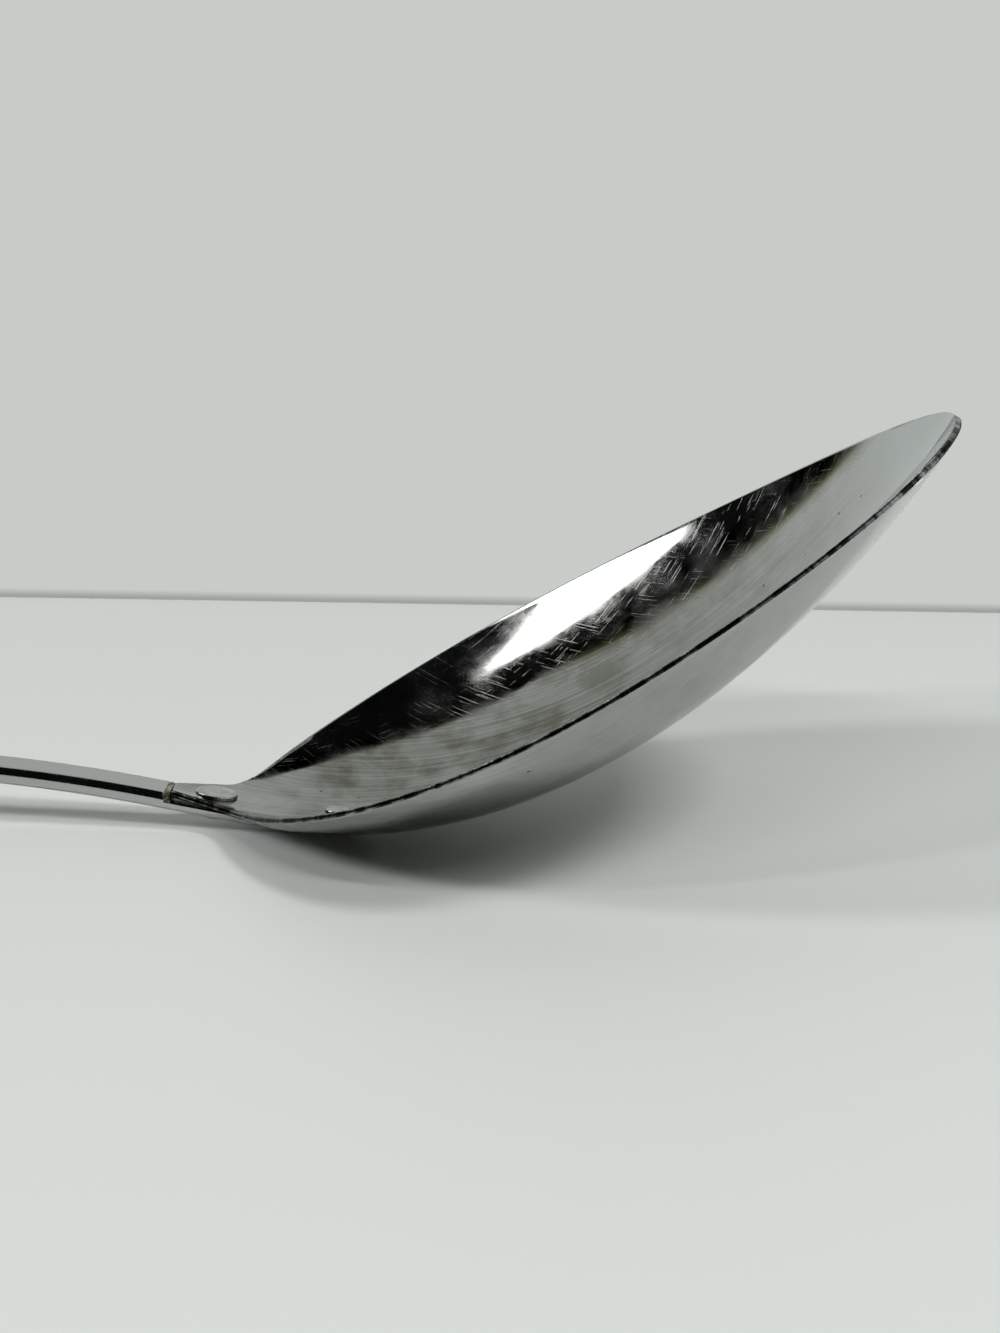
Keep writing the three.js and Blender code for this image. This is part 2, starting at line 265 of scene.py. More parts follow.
def linear(hex_colour):
    """An sRGB hex colour as linear red, green, blue and alpha."""
    channels = [int(hex_colour[i:i + 2], 16) / 255 for i in (1, 3, 5)]
    return [c / 12.92 if c <= 0.04045 else ((c + 0.055) / 1.055) ** 2.4 for c in channels] + [1]


def direction(angle):
    return Vector((math.cos(angle), math.sin(angle)))


def lerp(start, end, amount):
    return start + (end - start) * amount


def blend(start, end, amount):
    amount = min(max(amount, 0), 1)
    return lerp(start, end, amount * amount * (3 - 2 * amount))


def cubic(points, t):
    s = 1 - t
    return points[0] * s**3 + points[1] * (3 * s * s * t) + points[2] * (3 * s * t * t) + points[3] * t**3


def point_where(points, measure, value):
    """The point of a cubic curve where a steadily rising measure reaches a value."""
    low, high = 0, 1
    for _ in range(BISECTIONS):
        middle = (low + high) / 2
        if measure(cubic(points, middle)) < value:
            low = middle
        else:
            high = middle
    return cubic(points, (low + high) / 2)


def filleted_larger(first, second, fillet):
    """Larger of two sizes, with a rounded change-over."""
    closeness = max(fillet - abs(first - second), 0) / fillet
    return max(first, second) + closeness * closeness * fillet / 4


def floor_curve(heel_height):
    """Side view of the bowl floor, as X and Z, for a rim heel at the given height."""
    start = Vector((0, heel_height - FLOOR_DROP))
    tip = Vector((0, heel_height)) + direction(BOWL_TILT) * BOWL_LENGTH
    leave = start + direction(-FLOOR_SLOPE) * FLOOR_REACH
    arrive = tip - direction(BOWL_TILT + TIP_ANGLE) * TIP_REACH
    return start, leave, arrive, tip


def resting_heel_height():
    """The bar under the heel touches the table, which fixes the heel's height above it."""
    curve = floor_curve(0)
    lowest = min(cubic(curve, step / FLOOR_SAMPLES).y for step in range(FLOOR_SAMPLES + 1))
    return HANDLE_THICKNESS - REST_GRIND - lowest


HEEL_HEIGHT = resting_heel_height()
BOWL_FLOOR = floor_curve(HEEL_HEIGHT)
SHOULDER_X = -TAB_LENGTH - SHOULDER_GAP
HANDLE_END_X = SHOULDER_X - HANDLE_LENGTH
HEEL_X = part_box("handle")[0].x / MM - HANDLE_END_X - PADDLE_ROUND * (1 - math.sin(CAD_END_SWEEP))


def floor_height(x):
    """Height of the bowl's upper face on the centreline: a straight tab, then the floor."""
    if x <= 0:
        return BOWL_FLOOR[0].y - x * math.tan(FLOOR_SLOPE)
    return point_where(BOWL_FLOOR, lambda point: point.x, x).y


def floor_angle(x):
    rise = floor_height(x + SLOPE_STEP) - floor_height(x - SLOPE_STEP)
    return math.atan2(rise, 2 * SLOPE_STEP)


def tab_edge_height(x):
    """Height of the tab's turned-up edge, carried on in a straight line past the heel."""
    dish = lerp(TAB_HEEL_DISH, TAB_END_DISH, -x / TAB_LENGTH)
    return BOWL_FLOOR[0].y - x * math.tan(FLOOR_SLOPE) + dish


def rim_point(angle):
    """A point of the rim in side view: the angle sweeps the rim from the heel, at 0, to the tip."""
    along = BOWL_LENGTH / 2 * (1 - math.cos(angle))
    share = along / BOWL_LENGTH
    sag = 4 * RIM_SAG * share * (1 - share)
    return Vector((0, HEEL_HEIGHT)) + direction(BOWL_TILT) * along - direction(BOWL_TILT + 90 * DEGREE) * sag


def egg_half(angle):
    """Half width of the egg-shaped rim."""
    swing = math.cos(angle)
    fullness = 1 + EGG_LEAN * swing - EGG_PINCH * swing**2 - EGG_SKEW * swing**3
    return BOWL_WIDTH / 2 * math.sin(angle) * fullness


def tab_half(x):
    return lerp(TAB_HEEL_WIDTH, TAB_END_WIDTH, -x / TAB_LENGTH) / 2


def heel_curve():
    """Half of the outline seen from above, from the straight tab into the egg-shaped rim."""
    low, high = 0, math.pi
    for _ in range(BISECTIONS):
        angle = (low + high) / 2
        if rim_point(angle).x < HEEL_FRONT:
            low = angle
        else:
            high = angle
    start = Vector((-HEEL_BACK, tab_half(-HEEL_BACK)))
    end = Vector((HEEL_FRONT, egg_half(low)))
    back = low * RIM_STEP_BACK
    before = Vector((rim_point(back).x, egg_half(back)))
    reach = (HEEL_BACK + HEEL_FRONT) * HEEL_PULL
    leave = start + (start - Vector((-TAB_LENGTH, tab_half(-TAB_LENGTH)))).normalized() * reach
    return start, leave, end - (end - before).normalized() * reach, end


HEEL_CURVE = heel_curve()
RIM_START = math.atan2(rim_point(RIM_FIRST_STEP).y - HEEL_HEIGHT, rim_point(RIM_FIRST_STEP).x)


def outline_half(x, angle=0):
    """Half width of the sheet at X, on the tab or at an angle of the rim."""
    if -HEEL_BACK < x < HEEL_FRONT:
        return point_where(HEEL_CURVE, lambda point: point.x, x).y
    return tab_half(x) if x < 0 else egg_half(angle)


def tab_station(share):
    """A cross-section of the tab: its centre and edge in side view, half width and curve power."""
    x = -TAB_LENGTH * (1 - share)
    rim_line = HEEL_HEIGHT + x * math.tan(RIM_START)
    edge = Vector((x, filleted_larger(rim_line, tab_edge_height(x), EDGE_FILLET)))
    return Vector((x, floor_height(x))), edge, outline_half(x), TAB_SECTION_POWER


def bowl_station(angle):
    """A cross-section of the bowl, at an angle of the rim."""
    along = BOWL_LENGTH / 2 * (1 - math.cos(angle))
    edge = rim_point(angle)
    edge.y = filleted_larger(edge.y, tab_edge_height(edge.x), EDGE_FILLET)
    heel, chord = Vector((0, HEEL_HEIGHT)), direction(BOWL_TILT)
    centre = point_where(BOWL_FLOOR, lambda point: (point - heel).dot(chord), along)
    power = blend(TAB_SECTION_POWER, SECTION_POWER, along / HEEL_BLEND)
    return centre, edge, outline_half(edge.x, angle), power


def grid_mesh(columns, rows):
    """A flat grid, with each vertex's column and row, and room for the plate's places and cut edge."""
    mesh = bmesh.new()
    mesh.verts.layers.float_vector.new("sheet_place")
    mesh.verts.layers.float.new("cut_edge")
    bmesh.ops.create_grid(mesh, x_segments=columns, y_segments=rows, size=1)
    places = {}
    for vertex in mesh.verts:
        column = round((vertex.co.x + 1) / 2 * columns)
        row = round((vertex.co.y + 1) / 2 * rows)
        places[vertex] = (column, row)
    return mesh, places


def finished(name, mesh, material, slot, *nodes):
    """Turns a mesh drawn in millimetres from the heel into a smooth piece that stands for CAD nodes."""
    bmesh.ops.translate(mesh, verts=mesh.verts, vec=(HEEL_X, 0, 0))
    bmesh.ops.scale(mesh, verts=mesh.verts, vec=(MM, MM, MM))
    for face in mesh.faces:
        face.smooth = True
    data = bpy.data.meshes.new(name)
    mesh.to_mesh(data)
    mesh.free()
    piece = bpy.data.objects.new(name, data)
    bpy.context.scene.collection.objects.link(piece)
    data.materials.append(material)
    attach(piece, "root")
    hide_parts(*nodes)
    return piece


def pressed_bowl(material):
    """A grid laid over the cross-sections of tab and bowl, thickened to a sheet and rounded at its rim."""
    stations = [tab_station(step / TAB_COLUMNS) for step in range(TAB_COLUMNS)]
    shares = [(step / BOWL_COLUMNS) ** HEEL_SPREAD for step in range(BOWL_COLUMNS + 1)]
    stations += [bowl_station(TIP_SWEEP * share) for share in shares]
    along = [-TAB_LENGTH]
    for before, after in zip(stations, stations[1:]):
        along.append(along[-1] + (after[0] - before[0]).length)
    mesh, places = grid_mesh(len(stations) - 1, BOWL_STRIPS)
    sheet_place = mesh.verts.layers.float_vector["sheet_place"]
    cut_edge = mesh.verts.layers.float["cut_edge"]
    for vertex, (column, row) in places.items():
        centre, edge, half, power = stations[column]
        across = 2 * row / BOWL_STRIPS - 1
        side = centre.lerp(edge, abs(across) ** power)
        vertex.co = (side.x, across * half, side.y)
        vertex[sheet_place] = (along[column] * MM, across * half * MM, 0)
    bmesh.ops.recalc_face_normals(mesh, faces=mesh.faces)
    if sum(face.normal.z for face in mesh.faces) < 0:
        bmesh.ops.reverse_faces(mesh, faces=mesh.faces)
    bmesh.ops.solidify(mesh, geom=mesh.faces[:], thickness=SHEET)
    rim = [edge for edge in mesh.edges if edge.calc_face_angle() > RIM_CORNER]
    for edge in rim:
        for vertex in edge.verts:
            vertex[cut_edge] = 1
    bmesh.ops.bevel(mesh, geom=rim, offset=RIM_ROUND, segments=RIM_STEPS, profile=0.5, affect="EDGES",
                    material=-1)
    return finished("bowl_sheet", mesh, material, "bowl_plate", "bowl")


def arch_curve():
    """Side view of the handle's upper edge, from its flat end stretch to the shoulder."""
    shoulder = Vector((SHOULDER_X, floor_height(SHOULDER_X)))
    end_top = PADDLE_THICKNESS - REST_GRIND
    foot = Vector((HANDLE_END_X + REST_LENGTH, end_top))
    leave = shoulder + direction(180 * DEGREE - FLOOR_SLOPE) * ARCH_REACH_NECK
    arrive = Vector((foot.x + ARCH_REACH_END, end_top))
    return foot, arrive, leave, shoulder


ARCH = arch_curve()


def bar_top(x):
    if x <= ARCH[0].x:
        return ARCH[0].y
    if x < SHOULDER_X:
        return point_where(ARCH, lambda point: point.x, x).y
    return floor_height(x)


def bar_outline(half, side, thickness, power):
    """A cross-section as points across and down from the top: a flat top with round
    corners, and a half-oval underside that starts at the widest line."""
    corner = min(side, half)
    points = []
    for step in range(CORNER_STEPS):
        swing = 90 * DEGREE * step / CORNER_STEPS
        points.append((half - corner * (1 - math.cos(swing)), side * (math.sin(swing) - 1)))
    for step in range(TOP_STEPS):
        points.append((lerp(half - corner, corner - half, step / TOP_STEPS), 0))
    for step in range(CORNER_STEPS):
        swing = 90 * DEGREE * (1 - step / CORNER_STEPS)
        points.append((corner * (1 - math.cos(swing)) - half, side * (math.sin(swing) - 1)))
    for step in range(UNDER_STEPS):
        swing = math.pi * step / UNDER_STEPS
        across = -math.copysign(abs(math.cos(swing)) ** (2 / power), math.cos(swing))
        points.append((across * half, -side - math.sin(swing) ** (2 / power) * (thickness - side)))
    return points


def bar_ring(x, roundness=1, ceiling=None):
    """The bar's cross-section at X as points, cut off at a ceiling and at the table."""
    widening = (SHOULDER_X - PADDLE_START - x) / (HANDLE_LENGTH - PADDLE_START - REST_LENGTH)
    taper = (x - TONGUE_REACH + TONGUE_TAPER) / TONGUE_TAPER
    half = blend(HANDLE_WIDTH, PADDLE_WIDTH, widening) / 2 * roundness
    side = blend(SIDE_HEIGHT, PADDLE_SIDE_HEIGHT, widening)
    thickness = blend(HANDLE_THICKNESS, PADDLE_THICKNESS, widening) - blend(0, TONGUE_TIP_LIFT, taper)
    outline = bar_outline(half, side, thickness, blend(BAR_POWER, PADDLE_POWER, widening))
    top = bar_top(x)
    ceiling = top if ceiling is None else ceiling
    return [Vector((x, across, max(min(top + down, ceiling), 0))) for across, down in outline]


def tongue_top(x):
    """Height of the tongue's upper face under the sheet."""
    return floor_height(x) - (SHEET + TONGUE_CLEARANCE) / math.cos(floor_angle(x))


def bar_rings():
    """The bar's cross-sections: round end, bar, shoulder, tongue and the tongue's round end."""
    rings = []
    for step in range(BAR_END_RINGS, 0, -1):
        swing = BAR_END_SWEEP * step / BAR_END_RINGS
        rings.append(bar_ring(HANDLE_END_X + PADDLE_ROUND * (1 - math.sin(swing)), math.cos(swing)))
    shoulder = -TAB_LENGTH - SEAM_WIDTH
    start, stop = HANDLE_END_X + PADDLE_ROUND, shoulder - SHOULDER_ROUND
    rings += [bar_ring(lerp(start, stop, step / BAR_RINGS)) for step in range(BAR_RINGS + 1)]
    for step in range(1, SHOULDER_RINGS + 1):
        swing = 90 * DEGREE * step / SHOULDER_RINGS
        x = stop + SHOULDER_ROUND * math.sin(swing)
        rings.append(bar_ring(x, 1, bar_top(x) - SHOULDER_ROUND * (1 - math.cos(swing))))
    start, stop = shoulder, TONGUE_REACH - TONGUE_ROUND
    for step in range(TONGUE_RINGS + 1):
        x = lerp(start, stop, step / TONGUE_RINGS)
        rings.append(bar_ring(x, 1, tongue_top(x)))
    for step in range(1, BAR_END_RINGS + 1):
        swing = BAR_END_SWEEP * step / BAR_END_RINGS
        x = TONGUE_REACH - TONGUE_ROUND * (1 - math.sin(swing))
        rings.append(bar_ring(x, math.cos(swing), tongue_top(x)))
    return rings


def forged_handle(material):
    """A grid wrapped round the bar's cross-sections, closed along its seam and at both ends."""
    rings = bar_rings()
    around = len(rings[0])
    mesh, places = grid_mesh(len(rings) - 1, around)
    for vertex, (column, row) in places.items():
        vertex.co = rings[column][row % around]
    bmesh.ops.remove_doubles(mesh, verts=mesh.verts, dist=MERGE_DISTANCE)
    bmesh.ops.holes_fill(mesh, edges=[edge for edge in mesh.edges if edge.is_boundary])
    bmesh.ops.recalc_face_normals(mesh, faces=mesh.faces)
    return finished("handle_bar", mesh, material, "handle_plate", "handle")


def seated(mesh, x, lean=0):
    """Moves a mesh that was drawn upright at the origin onto the sheet's centreline at X."""
    place = Matrix.Translation((x, 0, floor_height(x))) @ Matrix.Rotation(lean - floor_angle(x), 4, "Y")
    bmesh.ops.transform(mesh, matrix=place, verts=mesh.verts)
    return mesh


def rivet(name, node, x, head, head_height, shank, lean, material, oval=1, shift=0):
    """A button head on a shank, with a countersunk tail, turned about its own axis."""
    tail_end = TAIL_INSET - HANDLE_THICKNESS
    profile = [(0, tail_end), (shank + TAIL_FLARE, tail_end), (shank, tail_end + TAIL_FLARE)]
    profile += [(shank, -SHEET / 2), (head - HEAD_ROUND, -SHEET / 2)]
    profile += [(head, 0), (head, head_height - HEAD_ROUND)]
    for step in range(1, ROUND_STEPS + 1):
        swing = 90 * DEGREE * step / ROUND_STEPS
        inward, drop = HEAD_ROUND * (1 - math.cos(swing)), HEAD_ROUND * (1 - math.sin(swing))
        profile.append((head - inward, head_height - drop))
    profile += [(head / 2, head_height + HEAD_CROWN), (0, head_height + HEAD_CROWN)]
    mesh = bmesh.new()
    verts = [mesh.verts.new((radius, 0, height)) for radius, height in profile]
    edges = [mesh.edges.new(pair) for pair in zip(verts, verts[1:])]
    bmesh.ops.spin(mesh, geom=verts + edges, axis=(0, 0, 1), cent=(0, 0, 0),
                   angle=2 * math.pi, steps=RIVET_STEPS, use_merge=True)
    bmesh.ops.remove_doubles(mesh, verts=mesh.verts, dist=MERGE_DISTANCE)
    bmesh.ops.recalc_face_normals(mesh, faces=mesh.faces)
    button = [vertex for vertex in mesh.verts if vertex.co.z > -SHEET]
    bmesh.ops.scale(mesh, verts=button, vec=(1, oval, 1))
    bmesh.ops.translate(mesh, verts=button, vec=(0, shift, 0))
    return finished(name, seated(mesh, x, lean), material, "rivet_steel", node)


def filler_bead(material):
    """A lumpy bead that fills the gap, with the drops at its foot."""
    mesh = bmesh.new()
    bmesh.ops.create_cube(mesh, size=1)
    bmesh.ops.scale(mesh, verts=mesh.verts, vec=(BEAD_LENGTH, BEAD_WIDTH, BEAD_DEPTH))
    bmesh.ops.translate(mesh, verts=mesh.verts, vec=(BEAD_SHIFT, 0, BEAD_TOP - BEAD_DEPTH / 2))
    bmesh.ops.subdivide_edges(mesh, edges=mesh.edges, cuts=BEAD_CUTS, use_grid_fill=True)
    for x, y, z, radius in DROPS:
        drop = Matrix.Translation((x, y, z)) @ Matrix.Scale(DROP_STRETCH, 4, (0, 1, 0))
        bmesh.ops.create_icosphere(mesh, subdivisions=DROP_FINENESS, radius=radius, matrix=drop)
    for vertex in mesh.verts:
        vertex.co += noise.noise_vector(vertex.co * LUMPS_PER_MM) * BEAD_LUMP
    bmesh.ops.smooth_vert(mesh, verts=mesh.verts, factor=BEAD_SMOOTHING,
                          use_axis_x=True, use_axis_y=True, use_axis_z=True)
    bmesh.ops.recalc_face_normals(mesh, faces=mesh.faces)
    seated(mesh, -TAB_LENGTH - SEAM_WIDTH / 2)
    return finished("filler_bead", mesh, material, "braze_filler", "braze_seam")


def add(tree, kind, settings=None, **links):
    """Adds a node. Settings go to its own fields, links to its sockets by name or by i and number."""
    node = tree.nodes.new(kind)
    for field, value in (settings or {}).items():
        setattr(node, field, value)
    for name, value in links.items():
        key = int(name[1:]) if name[1:].isdigit() else name.replace("_", " ")
        if isinstance(value, bpy.types.NodeSocket):
            tree.links.new(value, node.inputs[key])
        else:
            node.inputs[key].default_value = value
    return node


def fill_ramp(node, stops):
    """Sets a colour ramp's stops, given as places and hex colours."""
    elements = node.color_ramp.elements
    elements[0].position, elements[1].position = stops[0][0], stops[-1][0]
    elements[0].color, elements[1].color = linear(stops[0][1]), linear(stops[-1][1])
    for place, colour in stops[1:-1]:
        elements.new(place).color = linear(colour)
    return node.outputs["Color"]


def bare_material(name):
    material = bpy.data.materials.new(name)
    material.use_nodes = True
    material.node_tree.nodes.clear()
    return material, material.node_tree


def millimetres(tree, attribute=None):
    """Object coordinates in millimetres, or the places along and across a sheet that its mesh carries."""
    if attribute:
        place = add(tree, "ShaderNodeAttribute", {"attribute_name": attribute}).outputs["Vector"]
    else:
        place = add(tree, "ShaderNodeTexCoord").outputs["Object"]
    return add(tree, "ShaderNodeMapping", Vector=place, Scale=(1 / MM,) * 3).outputs["Vector"]


def streaks(tree, place, length, width, angle, low, high):
    """Fine marks of a given length and width, from 0 to 1, at an angle to the polishing direction."""
    turned = add(tree, "ShaderNodeMapping", Vector=place, Rotation=(0, 0, angle))
    scale = (1 / length, 1 / width, 1 / width)
    scaled = add(tree, "ShaderNodeMapping", Vector=turned.outputs["Vector"], Scale=scale)
    pattern = add(tree, "ShaderNodeTexNoise", Vector=scaled.outputs["Vector"], Scale=1, Detail=2)
    return add(tree, "ShaderNodeMapRange", Value=pattern.outputs[0], From_Min=low, From_Max=high).outputs[0]


def patches(tree, place, size, low, high):
    """Soft patches of a given size, from 0 to 1."""
    pattern = add(tree, "ShaderNodeTexNoise", Vector=place, Scale=1 / size, Detail=4, Roughness=0.6)
    return add(tree, "ShaderNodeMapRange", Value=pattern.outputs[0], From_Min=low, From_Max=high).outputs[0]


def weighed(tree, *terms):
    """A sum of values, each given with its weight."""
    total = None
    for value, weight in terms:
        if total is None:
            total = add(tree, "ShaderNodeMath", {"operation": "MULTIPLY"}, i0=value, i1=weight).outputs[0]
        else:
            settings = {"operation": "MULTIPLY_ADD"}
            total = add(tree, "ShaderNodeMath", settings, i0=value, i1=weight, i2=total).outputs[0]
    return total


def worn_film(tree, place, polish, wear_along):
    """How much of the plate a film hides, from 0 to 1, in streaks and blotches."""
    start, end = wear_along
    axes = add(tree, "ShaderNodeSeparateXYZ", Vector=place)
    reach = add(tree, "ShaderNodeMapRange", Value=axes.outputs["X"], From_Min=start, From_Max=end)
    wear = fill_ramp(add(tree, "ShaderNodeValToRGB", Fac=reach.outputs[0]), WEAR_STOPS)
    blotches = patches(tree, place, BLOTCH, low=0.42, high=0.72)
    streaked = weighed(tree, (polish, 0.4), (blotches, 0.45))
    streaked = add(tree, "ShaderNodeMath", {"operation": "ADD"}, i0=streaked, i1=FILM_LEAST).outputs[0]
    settings = {"operation": "MULTIPLY", "use_clamp": True}
    film = add(tree, "ShaderNodeMath", settings, i0=streaked, i1=wear).outputs[0]
    across = add(tree, "ShaderNodeMath", {"operation": "ABSOLUTE"}, i0=axes.outputs["Y"])
    floor = add(tree, "ShaderNodeMapRange", Value=across.outputs[0], From_Min=FILM_FLOOR, From_Max=FILM_SIDE,
                To_Min=1, To_Max=FILM_SIDE_SHARE)
    return add(tree, "ShaderNodeMath", {"operation": "MULTIPLY"}, i0=film, i1=floor.outputs[0]).outputs[0]


def cut_edge_with_painted_dark(tree, place):
    """The sheet's cut edge, from 0 to 1, with the parts of it that carry a painted dark reflection, and its
    grain.
    """
    along = add(tree, "ShaderNodeSeparateXYZ", Vector=place).outputs["X"]
    before_tip, at_tip = TIP_EDGE_REACH
    start = add(tree, "ShaderNodeMapRange", Value=along, From_Min=before_tip, From_Max=at_tip,
                To_Min=EDGE_START, To_Max=TIP_EDGE_START).outputs[0]
    cut = add(tree, "ShaderNodeAttribute", {"attribute_name": "cut_edge"}).outputs["Fac"]
    edge = add(tree, "ShaderNodeMapRange", Value=cut, From_Min=start, From_Max=EDGE_FULL).outputs[0]
    # Spots where the painted dark reflection on the cut edge breaks off.
    painted_dark_unbroken = patches(tree, place, PAINTED_DARK_BREAK, low=0.66, high=0.46)
    torn = patches(tree, place, SHEARED_GRAIN, low=0.35, high=0.65)
    dark = add(tree, "ShaderNodeMath", {"operation": "MULTIPLY"}, i0=edge, i1=painted_dark_unbroken).outputs[0]
    grain = add(tree, "ShaderNodeMath", {"operation": "MULTIPLY"}, i0=edge, i1=torn).outputs[0]
    return edge, dark, grain


def plated_steel(name, attribute, clean, worn, wear_along):
    """Bright plate on polished steel: a clear mirror, dulled by lengthwise polishing marks, stray
    scratches, smudges and pits, with a warm grey film where food and washing wore it."""
    material, tree = bare_material(name)
    place = millimetres(tree, attribute)
    polish = streaks(tree, place, *POLISH_MARKS, angle=0, low=0.3, high=0.7)
    brushing = streaks(tree, place, *BRUSH_MARKS, angle=BRUSH_TURN, low=0.45, high=0.75)
    scratch_up = streaks(tree, place, *RISING_SCRATCHES, angle=RISING_TURN, low=0.66, high=0.72)
    scratch_down = streaks(tree, place, *FALLING_SCRATCHES, angle=FALLING_TURN, low=0.67, high=0.73)
    smudges = patches(tree, place, SMUDGE, low=0.4, high=0.66)
    cells = add(tree, "ShaderNodeTexVoronoi", Vector=place, Scale=1 / PIT_SPACING).outputs["Distance"]
    pits = add(tree, "ShaderNodeMapRange", Value=cells, From_Min=0.05, From_Max=0.03).outputs[0]
    film = worn_film(tree, place, polish, wear_along)
    edge, dark, grain = cut_edge_with_painted_dark(tree, place)
    colour = linear(clean)
    # The last layer paints the cut edge dark: a painted dark reflection, not a colour of the steel.
    for share, over in ((film, worn), (pits, "#4A4A44"), (dark, "#2E302D")):
        layer = add(tree, "ShaderNodeMix", {"data_type": "RGBA"}, i0=share, i6=colour, i7=linear(over))
        colour = layer.outputs[2]
    roughness = weighed(tree, (polish, 0.02), (brushing, 0.02), (scratch_up, 0.16), (scratch_down, 0.16),
                        (smudges, 0.13), (film, 0.03), (pits, 0.2), (edge, 0.15))
    roughness = add(tree, "ShaderNodeMath", {"operation": "ADD"}, i0=roughness, i1=PLATE_ROUGHNESS)
    relief = weighed(tree, (polish, 0.08), (brushing, 0.05), (scratch_up, -1), (scratch_down, -1),
                     (pits, -2), (grain, 9))
    bump = add(tree, "ShaderNodeBump", Height=relief, Distance=PLATE_RELIEF * MM, Strength=1)
    shader = add(tree, "ShaderNodeBsdfPrincipled", Base_Color=colour, Metallic=1,
                 Roughness=roughness.outputs[0], Normal=bump.outputs[0])
    add(tree, "ShaderNodeOutputMaterial", Surface=shader.outputs[0])
    return material


def filed_steel():
    """Hammered and filed rivet steel: satin, a little darker than the plate, with coarse marks."""
    material, tree = bare_material("filed_steel")
    place = millimetres(tree)
    file_marks = streaks(tree, place, *FILE_MARKS, angle=FILE_TURN, low=0.4, high=0.7)
    dull = patches(tree, place, DULL_SPOT, low=0.4, high=0.65)
    tint = add(tree, "ShaderNodeMix", {"data_type": "RGBA"}, i0=dull,
               i6=linear("#C0C2C0"), i7=linear("#A3A49F"))
    roughness = weighed(tree, (file_marks, 0.12), (dull, 0.1))
    roughness = add(tree, "ShaderNodeMath", {"operation": "ADD"}, i0=roughness, i1=RIVET_ROUGHNESS)
    bump = add(tree, "ShaderNodeBump", Height=file_marks, Distance=FILE_RELIEF * MM, Strength=1)
    shader = add(tree, "ShaderNodeBsdfPrincipled", Base_Color=tint.outputs[2], Metallic=1,
                 Roughness=roughness.outputs[0], Normal=bump.outputs[0])
    add(tree, "ShaderNodeOutputMaterial", Surface=shader.outputs[0])
    return material


def tarnished_filler():
    """Filler metal that was never polished: dull cream, olive to near black where it tarnished."""
    material, tree = bare_material("tarnished_filler")
    place = millimetres(tree)
    tarnish = patches(tree, place, TARNISH_SPOT, low=0.34, high=0.58)
    grain = patches(tree, place, FILLER_GRAIN, low=0.3, high=0.7)
    tint = add(tree, "ShaderNodeMix", {"data_type": "RGBA"}, i0=tarnish,
               i6=linear("#C6C4AE"), i7=linear("#4C4E3C"))
    roughness = add(tree, "ShaderNodeMapRange", Value=grain, To_Min=0.42, To_Max=0.62)
    bump = add(tree, "ShaderNodeBump", Height=grain, Distance=FILLER_RELIEF * MM, Strength=1)
    shader = add(tree, "ShaderNodeBsdfPrincipled", Base_Color=tint.outputs[2], Metallic=0.55,
                 Roughness=roughness.outputs[0], Normal=bump.outputs[0])
    add(tree, "ShaderNodeOutputMaterial", Surface=shader.outputs[0])
    return material


def table_laminate():
    """White laminate, evenly pale where the camera sees it far beyond the lamps' reach."""
    material, tree = bare_material("white_laminate")
    shader = add(tree, "ShaderNodeBsdfPrincipled", Base_Color=linear("#E0E4E1"), Roughness=0.45,
                 Specular_IOR_Level=0.2)
    place = add(tree, "ShaderNodeTexCoord").outputs["Object"]
    away = add(tree, "ShaderNodeVectorMath", {"operation": "LENGTH"}, i0=place).outputs["Value"]
    far = add(tree, "ShaderNodeMapRange", {"interpolation_type": "SMOOTHSTEP"}, Value=away,
              From_Min=TABLE_LIT * MM, From_Max=TABLE_FAR * MM)
    seen = add(tree, "ShaderNodeLightPath").outputs["Is Camera Ray"]
    far_seen = add(tree, "ShaderNodeMath", {"operation": "MULTIPLY"}, i0=far.outputs[0], i1=seen)
    plain = add(tree, "ShaderNodeEmission", Color=linear("#CBCFCB"))
    surface = add(tree, "ShaderNodeMixShader", i0=far_seen.outputs[0],
                  i1=shader.outputs[0], i2=plain.outputs[0])
    add(tree, "ShaderNodeOutputMaterial", Surface=surface.outputs[0])
    return material


def pale_board():
    """Plain and pale in the picture, with a thin shade at its foot. Cameras behind it look through."""
    material, tree = bare_material("pale_board")
    path = add(tree, "ShaderNodeLightPath")
    place = add(tree, "ShaderNodeSeparateXYZ", Vector=add(tree, "ShaderNodeTexCoord").outputs["Object"])
    foot = add(tree, "ShaderNodeMapRange", Value=place.outputs["Z"],
               From_Min=BOARD_FOOT[0] * MM, From_Max=BOARD_FOOT[1] * MM)
    plain = add(tree, "ShaderNodeMix", {"data_type": "RGBA"}, i0=foot.outputs[0],
                i6=linear("#9FA29F"), i7=linear("#C8CCC8"))
    glow = add(tree, "ShaderNodeMapRange", Value=path.outputs["Is Camera Ray"], To_Min=BOARD_BOUNCE, To_Max=1)
    front = add(tree, "ShaderNodeEmission", Color=plain.outputs[2], Strength=glow.outputs[0])
    back = add(tree, "ShaderNodeNewGeometry").outputs["Backfacing"]
    behind = add(tree, "ShaderNodeMath", {"operation": "MULTIPLY"}, i0=path.outputs["Is Camera Ray"], i1=back)
    clear = add(tree, "ShaderNodeBsdfTransparent")
    surface = add(tree, "ShaderNodeMixShader", i0=behind.outputs[0], i1=front.outputs[0], i2=clear.outputs[0])
    add(tree, "ShaderNodeOutputMaterial", Surface=surface.outputs[0])
    return material


